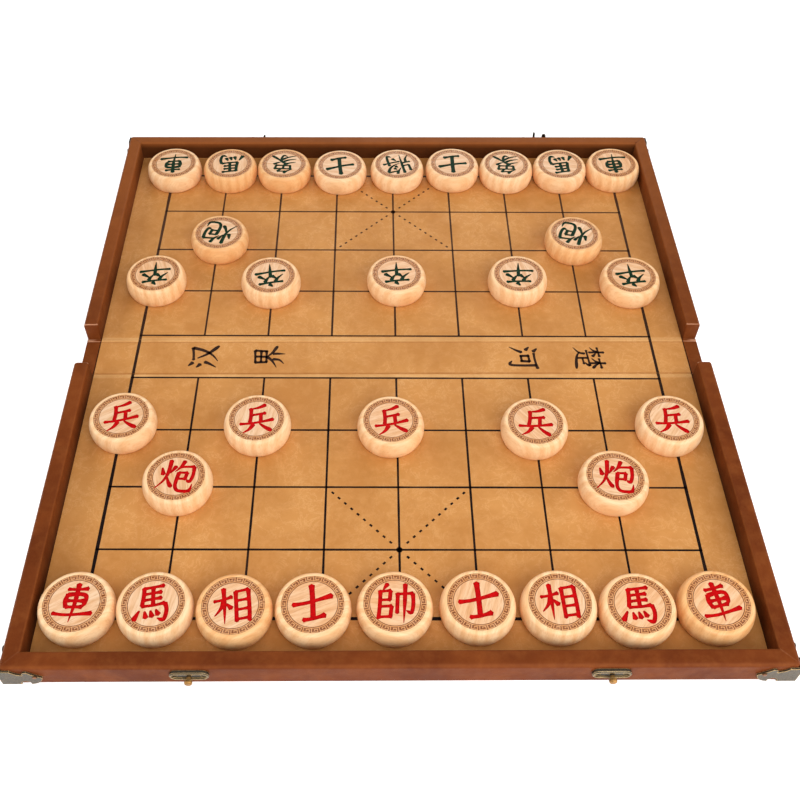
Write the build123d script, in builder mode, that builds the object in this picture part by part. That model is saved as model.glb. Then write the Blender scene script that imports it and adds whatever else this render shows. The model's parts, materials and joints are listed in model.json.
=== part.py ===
"""A folding xiangqi box that opens flat into its own board, with its 32 turned wooden pieces.

Two shallow leather-covered trays are joined by a flat spine. Open, the trays and the spine carry
one printed sheet between them. Closed, the far tray lies upside down on the near one, the spine
stands up as the back wall, and two swinging hooks hold the front together.

The origin is on the underside, below the middle of the river. +X runs to the player's right,
+Y away from the red side, and +Z up. The near tray is red's half and the far tray is green's.
"""
import os
from math import cos, radians, sin

from build123d import *

os.makedirs("parts", exist_ok=True)

# ---------------------------------------------------------------- driving dimensions, mm
# Pieces
piece_diameter = 49.5
piece_height = 17.0
piece_bulge = 2.2  # how far the middle of the side stands out past its ends
piece_edge_round = 2.4
piece_gap = 2.0  # between two pieces that stand on neighbouring points
band_outer_diameter = 41.0  # the burnt ring on the top face
band_inner_diameter = 31.8
band_depth = 0.3

# Board
river_width = 45.0
side_clearance = 3.5  # from a piece on the outer file to the side wall
end_clearance = 4.0  # from a piece on the outer rank to the end wall
print_shift_right = 2.3  # the sheet is printed a little off the middle of the box
print_shift_away = 0.7
print_turn = -0.31  # degrees, and a little askew

# Materials of the trays
leather = 0.6
board_thickness = 2.0
sheet_thickness = 0.4
wall_thickness = 11.5  # over its leather
headroom = 0.2  # from the top of a piece up to the top of the walls
outer_round = 3.0  # outer edges of the wrapped walls
inner_round = 1.8  # their edges round the playing sheet
end_round = 1.2  # their edges at the fold

# Folds
closing_gap = 0.3  # between the walls of the closed trays
strip_thickness = 1.0
strip_width = 3.0
groove_depth = 0.4  # from the playing sheet down to the strip

# Corner brackets
bracket_leg = 26.4
bracket_thickness = 1.4
bracket_inset = 0.5  # up from the foot of the wall; the top stops below the rounded edge
nail_margin = 5.5  # from the nail's middle to the leg's point
nail_shank_radius = 0.6
nail_length = 7.0
nail_head_radius = 1.6
nail_head_height = 0.9

# Catch plates, hook plates and their screws
latch_offset = 130.0  # from the middle of the box to each latch
plate_length = 24.5
plate_height = 9.0
plate_thickness = 2.6
plate_bevel = 0.7
plate_rim = 1.5  # round the sunk middle
plate_floor = 1.6  # thickness of the sunk middle
screw_margin = 3.25  # from the screw's middle to the end of the plate
screw_shank_radius = 0.9
screw_length = 7.0
screw_head_radius = 1.9
screw_head_height = 1.0
screw_slot_width = 0.5
screw_slot_depth = 0.3
catch_level = 12.4  # middle of the catch plates, above the table
hook_drop = 7.6  # middle of the hook plates, below the top of the wall

# Catch studs, hook arms and their rivets
stud_neck_radius = 1.6
stud_neck_length = 2.2  # clear of the plate's rim
stud_head_radius = 2.5
stud_head_length = 2.8
stud_round = 1.2
arm_thickness = 1.2
arm_width = 3.4
arm_eye_radius = 3.4
arm_head_radius = 4.2  # round the stud
nose_width = 3.8  # past the stud, at the arm's end
nose_height = 6.0  # from the arm's middle to the tip of the nose
arm_tab_distance = 10.0  # from the rivet to the tab that a finger pushes
arm_tab_height = 8.4  # from the arm's middle to the tip of the tab
arm_tab_width = 1.9
arm_clearance = 0.3  # from the arm to the plate and to the rivet's head
slot_clearance = 0.3  # round the stud's neck
left_arm_lean = 104.0  # degrees from upright
right_arm_lean = 87.0
rivet_radius = 1.2
rivet_depth = 6.0
rivet_head_radius = 2.6
rivet_head_height = 1.4

# Fits
running_fit = 0.05  # radial, between a pin and its hole

# ---------------------------------------------------------------- worked out from those
piece_radius = piece_diameter / 2
square = piece_diameter + piece_gap
files_each_side = 4
squares_per_half = 4

inner_x = files_each_side * square + piece_radius + side_clearance
outer_x = inner_x + wall_thickness
inner_y = river_width / 2 + squares_per_half * square + piece_radius + end_clearance
outer_y = inner_y + wall_thickness

board_top = leather + board_thickness
floor = board_top + sheet_thickness
wall_top = floor + piece_height + headroom
core_bottom = board_top
core_top = wall_top - leather
core_round = outer_round - leather

fold_level = floor - groove_depth - strip_thickness / 2
fold_distance = 2 * (wall_top - fold_level) + closing_gap  # from one fold to the other
fold_y = fold_distance / 2
tray_start = fold_y + strip_width / 2
spine_half = fold_y - strip_width / 2
closed_height = 2 * wall_top + closing_gap

hook_level = wall_top - hook_drop
hook_reach = closed_height - hook_level - catch_level
arm_stand_off = plate_thickness + arm_clearance  # the arm swings clear of the plate's rim
rivet_head_start = arm_stand_off + arm_thickness + arm_clearance
stud_head_start = plate_thickness + stud_neck_length
slot_radius = stud_neck_radius + slot_clearance
nose_start = hook_reach + slot_radius

NEAR, FAR = -1, 1
LEFT, RIGHT = -1, 1
TOUCHING = 0.01


def save(builder, name):
    """Label a finished piece and write it to its own file."""
    builder.part.label = name
    export_step(builder.part, f"parts/{name}.step")


def slab(side, y_from, y_to, half_width, bottom, top, mode=Mode.ADD):
    """A flat block across the tray, from y_from to y_to out from the middle of the box."""
    with BuildSketch(Plane.XY.offset(bottom)) as outline:
        with Locations((0, side * (y_from + y_to) / 2)):
            Rectangle(2 * half_width, y_to - y_from)
    extrude(outline.sketch, amount=top - bottom, mode=mode)


def end_wall_seat(side, x, level, stand_off=0.0):
    """A plane on the outside of a tray's end wall, facing out."""
    return Plane(
        origin=(x, side * (outer_y + stand_off), level), x_dir=(-side, 0, 0), z_dir=(0, side, 0)
    )


def side_wall_seat(hand, y, level, stand_off=0.0):
    """A plane on the outside of a side wall, facing out."""
    return Plane(
        origin=(hand * (outer_x + stand_off), y, level), x_dir=(0, hand, 0), z_dir=(hand, 0, 0)
    )


def drill(seats, radius, depth):
    """Cut a round hole inwards from each seat."""
    for seat in seats:
        with BuildSketch(seat) as hole:
            Circle(radius)
        extrude(hole.sketch, amount=-depth, mode=Mode.SUBTRACT)


# ---------------------------------------------------------------- where the fasteners go
bracket_height = wall_top - outer_round - bracket_inset
nail_distance = bracket_leg - nail_margin  # from the corner along each leg
screw_offset = plate_length / 2 - screw_margin  # from the middle of the plate
nail_level = bracket_inset + 0.61 * bracket_height


def nail_seats(side, stand_off=0.0):
    """Two nails at each of a tray's two corners, one through each leg of the bracket."""
    seats = []
    for hand in (LEFT, RIGHT):
        along_end = hand * (outer_x - nail_distance)
        along_side = side * (outer_y - nail_distance)
        seats.append(end_wall_seat(side, along_end, nail_level, stand_off))
        seats.append(side_wall_seat(hand, along_side, nail_level, stand_off))
    return seats


def latch_seats(side, level, stand_off=0.0):
    """The middle of the left and the right latch plate."""
    return [end_wall_seat(side, hand * latch_offset, level, stand_off) for hand in (LEFT, RIGHT)]


def screw_seats(side, level, stand_off=0.0):
    """Two screws in each latch plate."""
    seats = []
    for hand in (LEFT, RIGHT):
        for end in (LEFT, RIGHT):
            x = hand * latch_offset + end * screw_offset
            seats.append(end_wall_seat(side, x, level, stand_off))
    return seats


def drill_fasteners(side):
    """Every hole that the tray's fittings need in its walls and their leather."""
    drill(nail_seats(side), nail_shank_radius + running_fit, nail_length)
    if side == NEAR:
        drill(screw_seats(side, catch_level), screw_shank_radius + running_fit, screw_length)
    else:
        drill(screw_seats(side, hook_level), screw_shank_radius + running_fit, screw_length)
        drill(latch_seats(side, hook_level), rivet_radius + running_fit, rivet_depth)


# ---------------------------------------------------------------- trays
def make_tray(side, tray, end_wall):
    """Write the six layers of one tray: boards, walls, leather and playing sheet."""
    core_outer_x = outer_x - leather
    core_outer_y = outer_y - leather
    core_inner_x = inner_x + leather
    core_inner_y = inner_y + leather
    core_start = tray_start + leather

    with BuildPart() as base_cover:
        slab(side, tray_start, outer_y, outer_x, 0, leather)
        outer_corners = base_cover.edges().filter_by(Axis.Z).sort_by(Axis.Y)
        fillet(outer_corners[:2] if side == NEAR else outer_corners[-2:], outer_round)
    save(base_cover, f"{tray}_base_cover")

    with BuildPart() as base_board:
        slab(side, core_start, core_outer_y, core_outer_x, leather, board_top)
        far_corners = base_board.edges().filter_by(Axis.Z).sort_by(Axis.Y)
        fillet(far_corners[:2] if side == NEAR else far_corners[-2:], core_round)
    save(base_board, f"{tray}_base_board")

    with BuildPart() as end:
        slab(side, core_inner_y, core_outer_y, core_outer_x, core_bottom, core_top)
        corners = end.edges().filter_by(Axis.Z).sort_by(Axis.Y)
        fillet(corners[:2] if side == NEAR else corners[-2:], core_round)
        rims = end.edges().group_by(Axis.Z)[-1].sort_by(Axis.Y)
        fillet(rims[:-1] if side == NEAR else rims[1:], core_round)
        drill_fasteners(side)
    save(end, f"{tray}_{end_wall}")

    with BuildPart() as sides:
        slab(side, core_start, core_inner_y, core_outer_x, core_bottom, core_top)
        rims = sides.edges().group_by(Axis.Z)[-1].filter_by(Axis.Y)
        fillet(rims, core_round)
        slab(side, core_start, core_inner_y, core_inner_x, core_bottom, core_top, Mode.SUBTRACT)
        drill_fasteners(side)
    save(sides, f"{tray}_side_walls")

    with BuildPart() as wall_cover:
        slab(side, tray_start, outer_y, outer_x, leather, wall_top)
        corners = wall_cover.edges().filter_by(Axis.Z).sort_by(Axis.Y)
        fillet(corners[:2] if side == NEAR else corners[-2:], outer_round)
        rims = wall_cover.edges().group_by(Axis.Z)[-1].sort_by(Axis.Y)
        fillet(rims[:-1] if side == NEAR else rims[1:], outer_round)
        slab(side, tray_start, inner_y, inner_x, board_top, wall_top, Mode.SUBTRACT)
        rims = wall_cover.edges().group_by(Axis.Z)[-1].filter_by(
            lambda rim: abs(rim.center().X) < inner_x + inner_round / 2
            and abs(rim.center().Y) < inner_y + inner_round / 2
        )
        fillet(rims, inner_round)
        fold_ends = wall_cover.edges().filter_by(
            lambda edge: abs(abs(edge.center().Y) - tray_start) < TOUCHING
            and edge.center().Z > board_top + TOUCHING
        )
        fillet(fold_ends, end_round)
        add([base_board.part, end.part, sides.part], mode=Mode.SUBTRACT)
        drill_fasteners(side)
    save(wall_cover, f"{tray}_wall_cover")

    with BuildPart() as play_sheet:
        slab(side, tray_start, inner_y, inner_x, board_top, floor)
    save(play_sheet, f"{tray}_play_sheet")


make_tray(NEAR, "near", "front_wall")
make_tray(FAR, "far", "back_wall")

# ---------------------------------------------------------------- spine
with BuildPart() as spine_board:
    with BuildSketch(Plane.XY.offset(leather)):
        Rectangle(2 * (outer_x - leather), 2 * (spine_half - leather))
    extrude(amount=board_thickness)
save(spine_board, "spine_board")

with BuildPart() as spine_play_sheet:
    with BuildSketch(Plane.XY.offset(board_top)):
        Rectangle(2 * inner_x, 2 * spine_half)
    extrude(amount=sheet_thickness)
save(spine_play_sheet, "spine_play_sheet")

with BuildPart() as spine_cover:
    with BuildSketch(Plane.XY):
        Rectangle(2 * outer_x, 2 * spine_half)
    extrude(amount=floor)
    add([spine_board.part, spine_play_sheet.part], mode=Mode.SUBTRACT)
save(spine_cover, "spine_cover")

# The flexible leather along each fold bridges the spine and one tray.
for side, tray in ((NEAR, "near"), (FAR, "far")):
    with BuildPart() as hinge_strip:
        slab(side, spine_half, tray_start, outer_x, floor - groove_depth - strip_thickness,
             floor - groove_depth)
    save(hinge_strip, f"{tray}_hinge_strip")


# ---------------------------------------------------------------- corner brackets and nails
def bracket_outline():
    """One leg: a plain end at the corner, a scroll on each edge and a point with the nail."""
    shoulder = 0.46 * bracket_leg
    waist = 0.58 * bracket_leg
    lobe = 0.68 * bracket_leg
    h = bracket_height
    with BuildLine() as outline:
        Line((0, h), (0, 0))
        Line((0, 0), (shoulder, 0))
        ThreePointArc((shoulder, 0), (waist, 0.26 * h), (lobe, 0))
        ThreePointArc((lobe, 0), (0.88 * bracket_leg, 0.14 * h), (bracket_leg, 0.5 * h))
        ThreePointArc((bracket_leg, 0.5 * h), (0.82 * bracket_leg, 0.72 * h), (lobe, 0.94 * h))
        ThreePointArc((lobe, 0.94 * h), (0.59 * bracket_leg, 0.9 * h), (waist, 0.72 * h))
        ThreePointArc((waist, 0.72 * h), (0.42 * bracket_leg, 0.8 * h), (0.3 * bracket_leg, h))
        Line((0.3 * bracket_leg, h), (0, h))
    make_face(outline.line)


with BuildPart() as near_brackets:
    end_leg = Plane(
        origin=(-outer_x - bracket_thickness, -outer_y, bracket_inset),
        x_dir=(1, 0, 0), z_dir=(0, -1, 0),
    )
    with BuildSketch(end_leg):
        bracket_outline()
    extrude(amount=bracket_thickness)
    side_leg = Plane(
        origin=(-outer_x, -outer_y - bracket_thickness, bracket_inset),
        x_dir=(0, 1, 0), z_dir=(1, 0, 0),
    )
    with BuildSketch(side_leg):
        bracket_outline()
    extrude(amount=-bracket_thickness)
    mirror(about=Plane.YZ)
    drill(nail_seats(NEAR, bracket_thickness), nail_shank_radius + running_fit, bracket_thickness)
save(near_brackets, "near_corner_brackets")

with BuildPart() as far_brackets:
    mirror(near_brackets.part, about=Plane.XZ)
save(far_brackets, "far_corner_brackets")

for side, tray in ((NEAR, "near"), (FAR, "far")):
    with BuildPart() as nails:
        for seat in nail_seats(side, bracket_thickness):
            with BuildSketch(seat):
                Circle(nail_head_radius)
            extrude(amount=nail_head_height)
            rim = nails.edges(Select.LAST).sort_by(Axis(seat.origin, seat.z_dir))[-1]
            fillet(rim, 0.8 * nail_head_height)
            with BuildSketch(seat):
                Circle(nail_shank_radius)
            extrude(amount=-nail_length)
    save(nails, f"{tray}_bracket_nails")


# ---------------------------------------------------------------- latches
def latch_plates(side, level):
    """Two bevelled plates with round ends, a sunk middle and a screw hole near each end."""
    with BuildPart() as plates:
        for seat in latch_seats(side, level):
            with BuildSketch(seat):
                SlotOverall(plate_length, plate_height)
            extrude(amount=plate_thickness)
            faced = Axis(seat.origin, seat.z_dir)
            chamfer(plates.edges(Select.LAST).group_by(faced)[-1], plate_bevel)
        for seat in latch_seats(side, level, plate_floor):
            with BuildSketch(seat):
                SlotOverall(plate_length - 2 * plate_rim, plate_height - 2 * plate_rim)
            extrude(amount=plate_thickness - plate_floor, mode=Mode.SUBTRACT)
        with Locations(screw_seats(side, level, plate_floor)):
            CounterSinkHole(
                screw_shank_radius + running_fit, screw_head_radius + running_fit, plate_floor
            )
    return plates.part


def latch_screws(side, level):
    """Countersunk wood screws with a plain slot, flush with the sunk middle of the plates."""
    with BuildPart() as screws:
        with Locations(screw_seats(side, level, plate_floor)):
            outwards = (Align.CENTER, Align.CENTER, Align.MAX)
            Cone(screw_shank_radius, screw_head_radius, screw_head_height, align=outwards)
            Cylinder(screw_shank_radius, screw_length, align=outwards)
            Box(2 * screw_head_radius, screw_slot_width, screw_slot_depth, align=outwards,
                mode=Mode.SUBTRACT)
    return screws


bare_catch_plates = latch_plates(NEAR, catch_level)
with BuildPart() as catch_plates:
    add(bare_catch_plates)
    for seat in latch_seats(NEAR, catch_level, plate_floor):
        with BuildSketch(seat):
            Circle(stud_neck_radius)
        extrude(amount=stud_head_start - plate_floor)
    for seat in latch_seats(NEAR, catch_level, stud_head_start):
        with BuildSketch(seat):
            Circle(stud_head_radius)
        extrude(amount=stud_head_length)
        faced = Axis(seat.origin, seat.z_dir)
        fillet(catch_plates.edges(Select.LAST).sort_by(faced)[-1], stud_round)
save(catch_plates, "catch_plates")
save(latch_screws(NEAR, catch_level), "catch_screws")

bare_hook_plates = latch_plates(FAR, hook_level)
with BuildPart() as hook_plates:
    add(bare_hook_plates)
    drill(latch_seats(FAR, hook_level, plate_thickness), rivet_radius + running_fit,
          plate_thickness)
save(hook_plates, "hook_plates")
save(latch_screws(FAR, hook_level), "hook_screws")

with BuildPart() as hook_pivots:
    for seat in latch_seats(FAR, hook_level, rivet_head_start):
        with BuildSketch(seat):
            Circle(rivet_head_radius)
        extrude(amount=rivet_head_height)
        rim = hook_pivots.edges(Select.LAST).sort_by(Axis(seat.origin, seat.z_dir))[-1]
        fillet(rim, 0.8 * rivet_head_height)
        with BuildSketch(seat):
            Circle(rivet_radius)
        extrude(amount=-(rivet_head_start + rivet_depth))
save(hook_pivots, "hook_pivots")


def hook_arm(hand, lean):
    """A flat arm that turns on its rivet. Its slot closes over the stud from the side."""
    leaning = Plane(
        origin=(hand * latch_offset, outer_y + arm_stand_off, hook_level),
        x_dir=(sin(radians(lean)), 0, cos(radians(lean))), z_dir=(0, 1, 0),
    )
    with BuildPart() as arm:
        with BuildSketch(leaning):
            Circle(arm_eye_radius)
            with Locations((hook_reach / 2, 0)):
                Rectangle(hook_reach, arm_width)
            with Locations((hook_reach, 0)):
                Circle(arm_head_radius)
            with Locations((hook_reach, -arm_width / 2)):
                Rectangle(2 * arm_head_radius, arm_head_radius,
                          align=(Align.CENTER, Align.MAX), mode=Mode.SUBTRACT)
            with Locations((nose_start + nose_width / 2, (nose_width / 2 - nose_height) / 2)):
                SlotOverall(nose_height + nose_width / 2, nose_width, rotation=90)
            with Locations((arm_tab_distance, -arm_tab_height / 2)):
                SlotOverall(arm_tab_height, arm_tab_width, rotation=90)
            with Locations((hook_reach, 0)):
                Circle(slot_radius, mode=Mode.SUBTRACT)
                Rectangle(2 * slot_radius, nose_height, align=(Align.CENTER, Align.MAX),
                          mode=Mode.SUBTRACT)
            Circle(rivet_radius + running_fit, mode=Mode.SUBTRACT)
        extrude(amount=arm_thickness)
    return arm


save(hook_arm(LEFT, left_arm_lean), "left_hook_arm")
save(hook_arm(RIGHT, right_arm_lean), "right_hook_arm")


# ---------------------------------------------------------------- pieces
def turned_piece(x, y):
    """A drum with a bulging side, soft rims and a shallow ring band on its top face."""
    rim_radius = piece_radius - piece_bulge
    upright = Plane(origin=(x, y, floor), x_dir=(1, 0, 0), z_dir=(0, -1, 0))
    with BuildPart() as piece:
        with BuildSketch(upright):
            with BuildLine():
                Polyline((rim_radius, piece_height), (0, piece_height), (0, 0), (rim_radius, 0))
                ThreePointArc(
                    (rim_radius, 0), (piece_radius, piece_height / 2), (rim_radius, piece_height)
                )
            make_face()
        revolve(axis=Axis((x, y, floor), (0, 0, 1)))
        rims = piece.edges().filter_by(GeomType.CIRCLE).group_by(Axis.Z)
        fillet([*rims[0], *rims[-1]], piece_edge_round)
        with BuildSketch(Plane((x, y, floor + piece_height))):
            Circle(band_outer_diameter / 2)
            Circle(band_inner_diameter / 2, mode=Mode.SUBTRACT)
        extrude(amount=-band_depth, mode=Mode.SUBTRACT)
    return piece


# How far each piece stands off its point, right and away, counted in piece gaps: a player
# sets them down by hand. The first of a row is the leftmost one.
back_row_names = [
    "chariot_left", "horse_left", "elephant_left", "advisor_left", "general",
    "advisor_right", "elephant_right", "horse_right", "chariot_right",
]
cannon_names = ["cannon_left", "cannon_right"]
soldier_names = [f"soldier_{n}" for n in range(1, 6)]
back_row_files = [-4, -3, -2, -1, 0, 1, 2, 3, 4]
cannon_files = [-3, 3]
soldier_files = [-4, -2, 0, 2, 4]

red_back_set_down = [
    (-1, 1), (-1.75, 1), (-2, 0.25), (-2.5, 0.75), (-2, 1.25),
    (-1, 1.75), (-0.75, 1.75), (-1.25, 0.75), (-1.5, 1.75),
]
red_cannon_set_down = [(-0.75, -1.25), (-1.25, -1)]
red_soldier_set_down = [(1.5, -0.25), (-0.25, -1.25), (-2.5, -1.75), (-1, -2.5), (-2.25, -1)]
green_soldier_set_down = [(3.25, 1.5), (-0.25, 0.5), (0.75, 2), (0, 1.75), (-4.5, 1.25)]
green_cannon_set_down = [(1.5, 1.5), (1, 1.5)]
green_back_set_down = [
    (1.5, -1.75), (1.75, -2), (1, -2), (1.25, -2.75), (2, -2),
    (2, -1), (1.25, -1.75), (0.5, -1.5), (-0.25, -0.5),
]


def from_print(x, y):
    """Where a place on the printed board lies in the box."""
    turn = radians(print_turn)
    return (
        print_shift_right + x * cos(turn) - y * sin(turn),
        print_shift_away + x * sin(turn) + y * cos(turn),
    )


def set_row(colour, side, squares_from_bank, names, files, set_down):
    """Write one row of pieces that stands so many squares back from its bank of the river."""
    row_y = side * (river_width / 2 + squares_from_bank * square)
    for name, file, (right, away) in zip(names, files, set_down):
        x = file * square + right * piece_gap
        y = row_y + away * piece_gap
        save(turned_piece(*from_print(x, y)), f"{colour}_{name}")


set_row("red", NEAR, 4, back_row_names, back_row_files, red_back_set_down)
set_row("red", NEAR, 2, cannon_names, cannon_files, red_cannon_set_down)
set_row("red", NEAR, 1, soldier_names, soldier_files, red_soldier_set_down)
set_row("green", FAR, 1, soldier_names, soldier_files, green_soldier_set_down)
set_row("green", FAR, 2, cannon_names, cannon_files, green_cannon_set_down)
set_row("green", FAR, 4, back_row_names, back_row_files, green_back_set_down)
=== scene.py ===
"""The xiangqi box in Blender: leather, printed board, bronze fittings and carved pieces."""
import json
import math
import random

import bpy
from mathutils import Matrix, Vector
from mathutils.geometry import delaunay_2d_cdt


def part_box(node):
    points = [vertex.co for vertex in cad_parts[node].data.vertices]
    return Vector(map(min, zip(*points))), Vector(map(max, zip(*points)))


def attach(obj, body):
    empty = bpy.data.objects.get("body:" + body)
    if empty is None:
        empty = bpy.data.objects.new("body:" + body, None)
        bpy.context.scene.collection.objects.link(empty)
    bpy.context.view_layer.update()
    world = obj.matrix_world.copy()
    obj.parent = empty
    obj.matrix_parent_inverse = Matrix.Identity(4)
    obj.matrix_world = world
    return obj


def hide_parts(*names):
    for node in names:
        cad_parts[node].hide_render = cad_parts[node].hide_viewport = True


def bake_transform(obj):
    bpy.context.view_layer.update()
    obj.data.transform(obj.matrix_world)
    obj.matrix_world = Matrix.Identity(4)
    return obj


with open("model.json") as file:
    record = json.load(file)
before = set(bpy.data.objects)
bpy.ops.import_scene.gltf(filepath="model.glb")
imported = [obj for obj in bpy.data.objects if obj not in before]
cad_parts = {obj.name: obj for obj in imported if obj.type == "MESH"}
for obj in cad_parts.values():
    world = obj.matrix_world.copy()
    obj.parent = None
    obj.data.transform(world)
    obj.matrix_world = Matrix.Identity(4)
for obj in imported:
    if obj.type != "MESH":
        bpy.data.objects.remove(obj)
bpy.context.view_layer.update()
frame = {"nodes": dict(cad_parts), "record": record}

MM = 0.001  # the script's own lengths are millimetres


# ---------------------------------------------------------------- sizes from the frame
def cad_box_mm(name):
    """The two far corners of a CAD piece's box."""
    lo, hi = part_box(name)
    return lo / MM, hi / MM


SQUARE = 51.5
BANK = 22.5  # half of the river
EDGE_FILE = 4 * SQUARE  # from the board's middle to its outermost lines
PRINT = Vector((2.3, 0.7))  # the board's middle as printed, off the middle of the box
PRINT_TURN = math.radians(-0.31)
sheet_lo, sheet_hi = cad_box_mm("near_play_sheet")
cover_lo, cover_hi = cad_box_mm("near_wall_cover")
spine_hi = cad_box_mm("spine_play_sheet")[1]
FLOOR = sheet_hi.z
WALL_TOP = cover_hi.z
INNER_X, INNER_Y = sheet_hi.x, -sheet_lo.y
OUTER_X, OUTER_Y = cover_hi.x, -cover_lo.y
TRAY_START, SPINE_HALF = -sheet_hi.y, spine_hi.y


def on_box(x, y):
    """Where a point of the printed board lies on the box: the print sits a little turned."""
    c, s = math.cos(PRINT_TURN), math.sin(PRINT_TURN)
    return PRINT.x + x * c - y * s, PRINT.y + x * s + y * c


def at_level(x, y):
    """How far up the print the line at x reaches when it stands at y on the box."""
    return (y - PRINT.y - x * math.sin(PRINT_TURN)) / math.cos(PRINT_TURN)


# ---------------------------------------------------------------- material helpers
def srgb(r, g, b):
    """A colour as a screen shows it, 0 to 255, in the linear values that shaders take."""
    def linear(v):
        v /= 255
        return v / 12.92 if v <= 0.04045 else ((v + 0.055) / 1.055) ** 2.4
    return (linear(r), linear(g), linear(b), 1.0)


class Shader:
    """One material and a short way to add nodes to it."""

    def __init__(self, name):
        self.mat = bpy.data.materials.new(name)
        self.mat.use_nodes = True
        self.tree = self.mat.node_tree
        self.tree.nodes.clear()
        self.bsdf = self.node("BsdfPrincipled")
        out = self.node("OutputMaterial")
        self.tree.links.new(self.bsdf.outputs[0], out.inputs[0])

    def node(self, kind, inputs=None, **settings):
        n = self.tree.nodes.new("ShaderNode" + kind)
        for key, value in settings.items():
            setattr(n, key, value)
        for key, value in (inputs or {}).items():
            self.put(n.inputs[key], value)
        return n

    def put(self, socket, value):
        if isinstance(value, bpy.types.NodeSocket):
            self.tree.links.new(value, socket)
        elif isinstance(value, bpy.types.Node):
            self.tree.links.new(value.outputs[0], socket)
        else:
            socket.default_value = value

    def set(self, **values):
        for key, value in values.items():
            self.put(self.bsdf.inputs[key.replace("_", " ")], value)

    def math(self, operation, a, b=0.0, clamp=False):
        return self.node("Math", {0: a, 1: b}, operation=operation, use_clamp=clamp).outputs[0]

    def coords(self, scale=(1000, 1000, 1000), rotation=(0, 0, 0), offset=(0, 0, 0)):
        """The piece's own coordinates in millimetres, stretched by scale."""
        at = self.node("TexCoord").outputs["Object"]
        return self.node(
            "Mapping", {"Vector": at, "Scale": scale, "Rotation": rotation, "Location": offset}
        ).outputs[0]

    def split(self, vector):
        """The x, y and z of a vector."""
        return self.node("SeparateXYZ", {0: vector}).outputs

    def facing_up(self):
        """1 where the surface faces up, 0 where it stands upright, -1 where it faces down."""
        return self.split(self.node("NewGeometry").outputs["Normal"])[2]

    def times(self, first, *others):
        """All the factors multiplied."""
        for other in others:
            first = self.math("MULTIPLY", first, other)
        return first

    def noise(self, vector, scale, detail=4.0, rough=0.55, distortion=0.0):
        return self.node(
            "TexNoise",
            {"Vector": vector, "Scale": scale, "Detail": detail, "Roughness": rough,
             "Distortion": distortion},
        ).outputs["Fac"]

    def cells(self, vector, scale):
        return self.node("TexVoronoi", {"Vector": vector, "Scale": scale}).outputs["Distance"]

    def ramp(self, value, low, high, to_low=0.0, to_high=1.0):
        """value between low and high, spread over to_low to to_high."""
        return self.node(
            "MapRange", {0: value, 1: low, 2: high, 3: to_low, 4: to_high}, clamp=True
        ).outputs[0]

    def mix(self, factor, a, b, blend="MIX"):
        n = self.node("Mix", data_type="RGBA", blend_type=blend)
        self.put(n.inputs[0], factor)
        self.put(n.inputs[6], a)
        self.put(n.inputs[7], b)
        return n.outputs[2]

    def bump(self, height, strength, distance, under=None):
        ins = {"Height": height, "Strength": strength, "Distance": distance}
        if under is not None:
            ins["Normal"] = under
        return self.node("Bump", ins).outputs[0]

    def edges(self, radius, low=0.02, high=0.25):
        """1 on the sharp edges of the piece and 0 on its faces, and the rounded normal."""
        rounded = self.node("Bevel", {"Radius": radius}, samples=6).outputs[0]
        flat = self.node("NewGeometry").outputs["Normal"]
        dot = self.node("VectorMath", {0: rounded, 1: flat}, operation="DOT_PRODUCT")
        away = self.math("SUBTRACT", 1.0, dot.outputs["Value"])
        return self.ramp(away, low, high), rounded


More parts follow.
